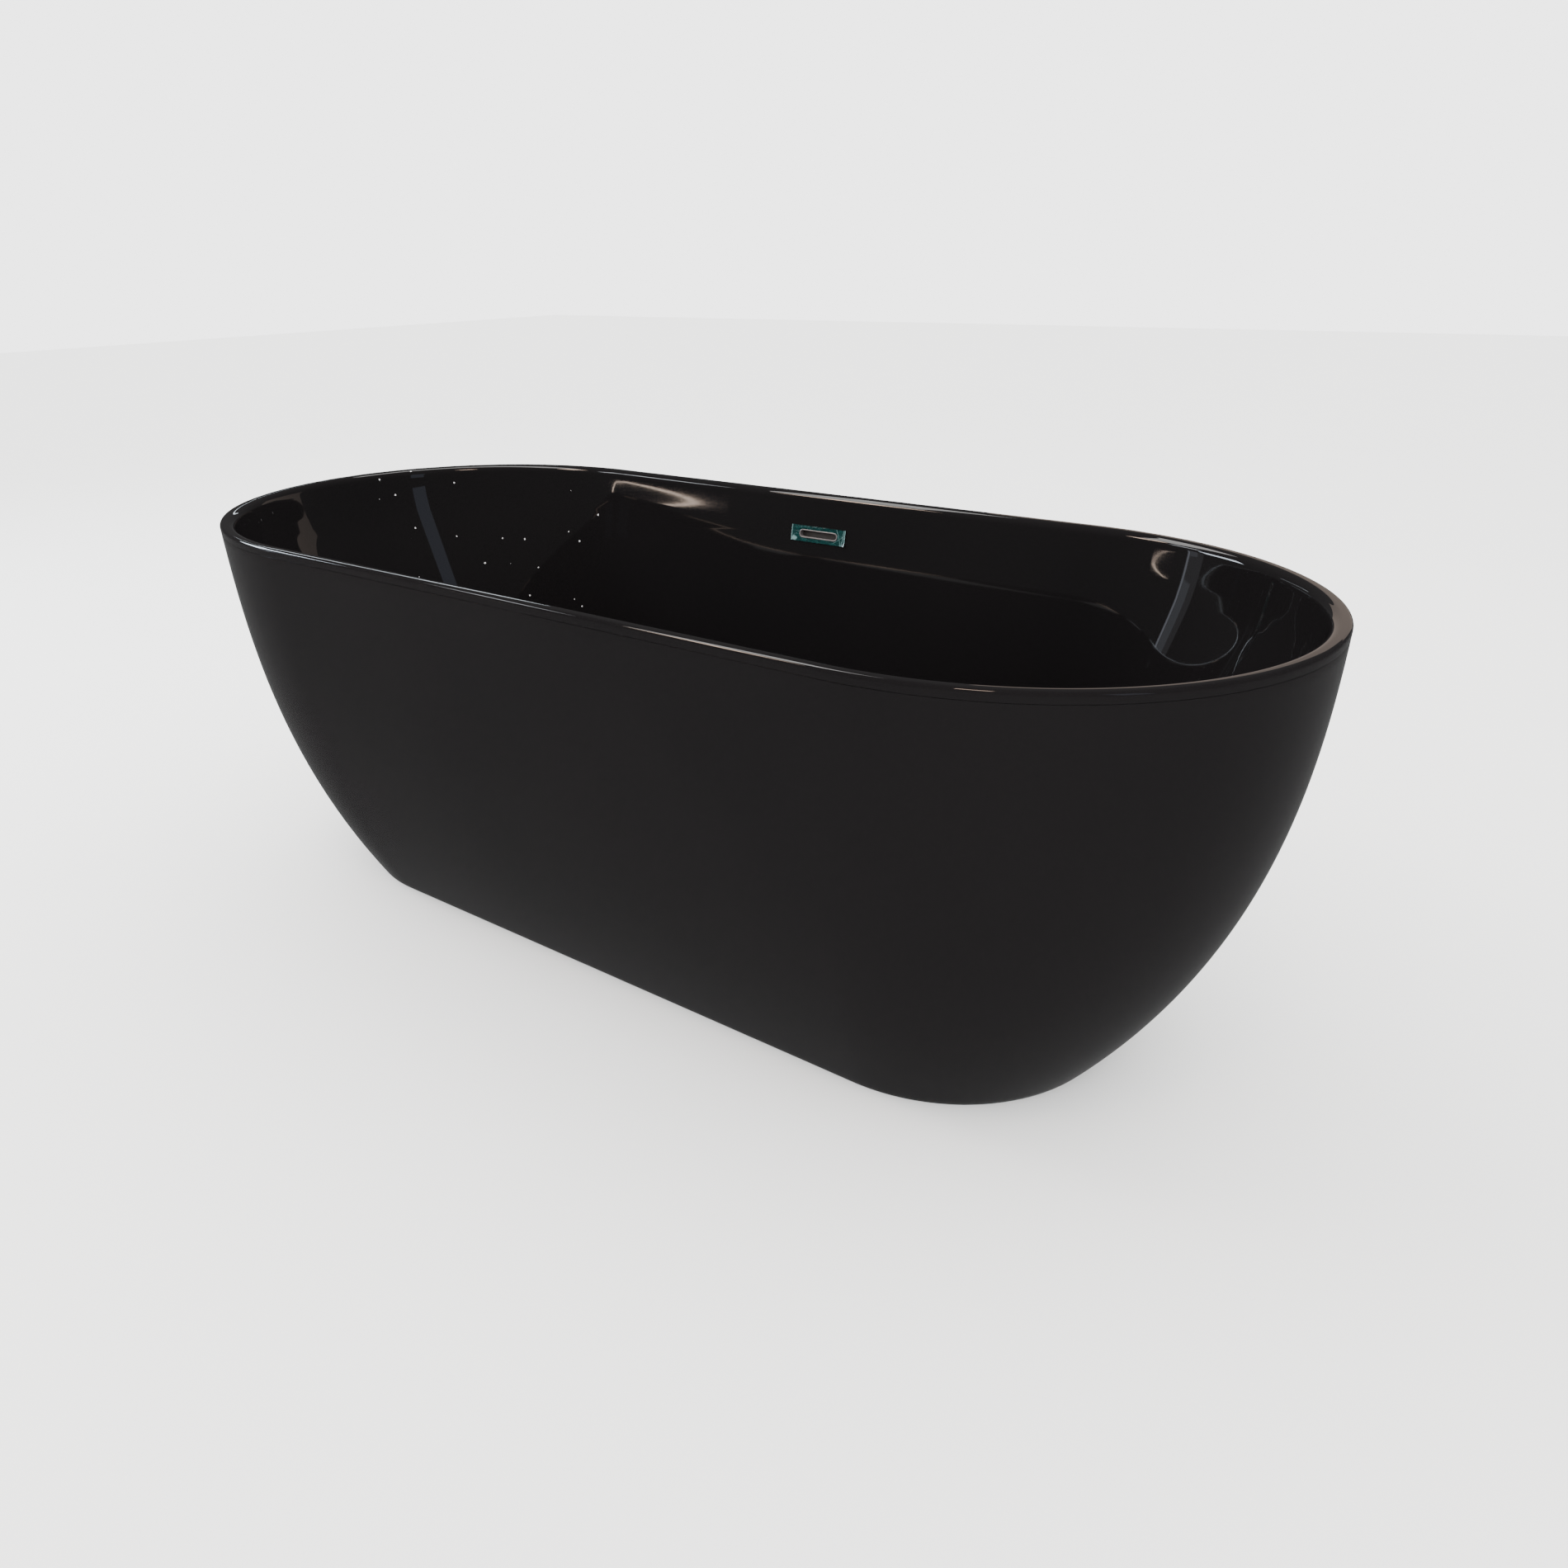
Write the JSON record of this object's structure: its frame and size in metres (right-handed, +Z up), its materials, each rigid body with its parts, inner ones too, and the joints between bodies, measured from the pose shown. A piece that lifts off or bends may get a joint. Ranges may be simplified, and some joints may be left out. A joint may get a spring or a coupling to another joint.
{
  "type": "freestanding bathtub",
  "caption": "Oval double-ended freestanding bathtub in glossy black acrylic with a slotted overflow, click waste, steel frame and screw feet.",
  "frame": {"origin": "centre of the tub's footprint on the floor", "axes": "+X along the tub's length, +Y towards the wall with the overflow, +Z up"},
  "size_m": [1.7, 0.75, 0.6],
  "materials": {
    "acrylic_inner": "gloss",
    "acrylic_outer": "gloss",
    "adhesive": "matte",
    "board": "matte",
    "galvanised": "satin",
    "zinc_steel": "satin",
    "block_wood": "matte",
    "bracket_steel": "satin",
    "screw_steel": "satin",
    "sole_rubber": "matte",
    "pad_plastic": "satin",
    "drain_chrome": "polished",
    "seal_rubber": "matte",
    "gasket_rubber": "matte",
    "nut_brass": "satin",
    "tee_plastic": "satin",
    "washer_rubber": "matte",
    "slip_nut_plastic": "satin",
    "tail_chrome": "polished",
    "stopper_chrome": "polished",
    "stopper_rubber": "matte",
    "post_brass": "satin",
    "sleeve_plastic": "satin",
    "spring_steel": "gloss",
    "trim_steel": "gloss",
    "film": "gloss",
    "box_plastic": "satin",
    "hose_plastic": "satin",
    "clamp_steel": "gloss"
  },
  "bodies": {
    "tub": {"basin": "acrylic_inner", "skirt": "acrylic_outer", "rim_bond": "adhesive", "base_board": "board", "rail_front": "galvanised", "rail_rear": "galvanised", "cross_left": "galvanised", "cross_right": "galvanised", "end_left": "galvanised", "end_right": "galvanised", "outrigger_left": "galvanised", "outrigger_right": "galvanised", "weld_nuts": "zinc_steel", "skirt_blocks": "block_wood", "skirt_brackets": "bracket_steel", "bracket_screws": "screw_steel", "board_screws": "screw_steel", "drain_body": "drain_chrome", "drain_seal": "seal_rubber", "drain_gasket": "gasket_rubber", "drain_locknut": "nut_brass", "waste_tee": "tee_plastic", "tee_washer": "washer_rubber", "slip_nut": "slip_nut_plastic", "slip_washer": "washer_rubber", "tailpiece": "tail_chrome", "click_sleeve": "sleeve_plastic", "overflow_trim": "trim_steel", "overflow_film": "film", "overflow_gasket": "gasket_rubber", "overflow_box": "box_plastic", "overflow_hose": "hose_plastic", "hose_clamp_upper": "clamp_steel", "hose_clamp_lower": "clamp_steel"},
    "stopper": {"stopper_cap": "stopper_chrome", "stopper_seal": "stopper_rubber", "stopper_post": "post_brass", "click_spring": "spring_steel"},
    "foot_fl": {"foot_sole_fl": "sole_rubber", "foot_pad_fl": "pad_plastic", "foot_stem_fl": "zinc_steel", "foot_locknut_fl": "zinc_steel"},
    "foot_fr": {"foot_sole_fr": "sole_rubber", "foot_pad_fr": "pad_plastic", "foot_stem_fr": "zinc_steel", "foot_locknut_fr": "zinc_steel"},
    "foot_rl": {"foot_sole_rl": "sole_rubber", "foot_pad_rl": "pad_plastic", "foot_stem_rl": "zinc_steel", "foot_locknut_rl": "zinc_steel"},
    "foot_rr": {"foot_sole_rr": "sole_rubber", "foot_pad_rr": "pad_plastic", "foot_stem_rr": "zinc_steel", "foot_locknut_rr": "zinc_steel"}
  },
  "joints": [
    {"name": "stopper_slide", "type": "slide", "parent": "tub", "child": "stopper", "axis": [0, 0, 1], "range_m": [-0.009, 0], "stiffness_N_per_m": 400, "springref_m": 0.005, "deforming": ["click_spring"]},
    {"name": "foot_height_fl", "type": "slide", "parent": "tub", "child": "foot_fl", "axis": [0, 0, 1], "range_m": [-0.02, 0]},
    {"name": "foot_height_fr", "type": "slide", "parent": "tub", "child": "foot_fr", "axis": [0, 0, 1], "range_m": [-0.02, 0]},
    {"name": "foot_height_rl", "type": "slide", "parent": "tub", "child": "foot_rl", "axis": [0, 0, 1], "range_m": [-0.02, 0]},
    {"name": "foot_height_rr", "type": "slide", "parent": "tub", "child": "foot_rr", "axis": [0, 0, 1], "range_m": [-0.02, 0]}
  ]
}
